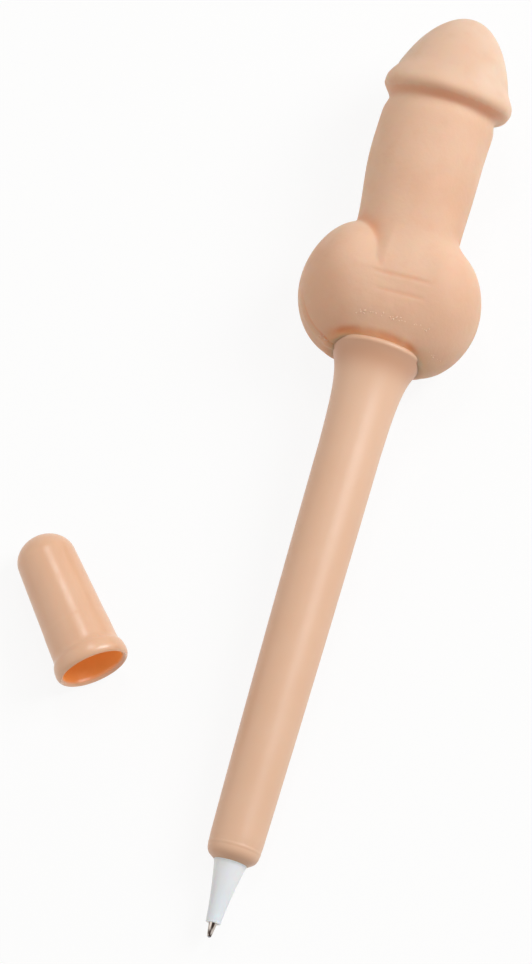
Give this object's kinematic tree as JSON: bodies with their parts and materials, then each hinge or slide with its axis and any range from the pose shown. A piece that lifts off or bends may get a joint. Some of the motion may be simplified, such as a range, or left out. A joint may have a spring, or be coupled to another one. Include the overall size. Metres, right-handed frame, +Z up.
{
  "type": "novelty ballpoint pen",
  "caption": "Adult novelty stick ballpoint: tapered barrel with a flared collar, soft moulded topper, white nose cone, refill inside, and a domed cap lying beside it.",
  "frame": {"origin": "on the table, under the middle of the box round the pen and its cap as they lie", "axes": "+Y along the pen in plan, from its writing point to the head of its topper; +Z up from the table; +X to the right with the point toward the viewer, so that the cap lies at -X"},
  "size_m": [0.0726, 0.189, 0.0292],
  "materials": {
    "barrel_plastic": "satin moulded plastic, flesh colour",
    "nose_plastic": "white moulded plastic",
    "point_metal": "turned nickel silver",
    "ball_metal": "polished carbide",
    "tube_plastic": "clear extruded tube",
    "ink": "dark ink",
    "grease": "clear yellowish grease",
    "stem_plastic": "hard moulded plastic",
    "topper_rubber": "soft matte moulded rubber or foam, flesh colour",
    "cap_plastic": "satin moulded plastic, flesh colour"
  },
  "bodies": {
    "pen": {"barrel": "barrel_plastic", "nose_cone": "nose_plastic", "point_body": "point_metal", "refill_tube": "tube_plastic", "ink_column": "ink", "grease_follower": "grease", "topper_stem": "stem_plastic", "topper_base": "topper_rubber"},
    "ball": {"writing_ball": "ball_metal"},
    "topper_top": {"topper_shaft": "topper_rubber"},
    "loose_cap": {"cap": "cap_plastic"}
  },
  "joints": [
    {"name": "topper_bend", "type": "hinge", "parent": "pen", "child": "topper_top", "pos_m": [0.01914, 0.04848, 0.01431], "axis": [0, -0.0738, 0.9973], "range_deg": [-18, 18], "stiffness_Nm_per_rad": 0.12},
    {"name": "ball_roll", "type": "hinge", "parent": "pen", "child": "ball", "pos_m": [0.01914, -0.09418, 0.00376], "axis": [1, 0, 0], "continuous": true},
    {"name": "cap_lift", "type": "slide", "parent": "pen", "child": "loose_cap", "axis": [0, 0, 1], "range_m": [0, 0.05]}
  ]
}
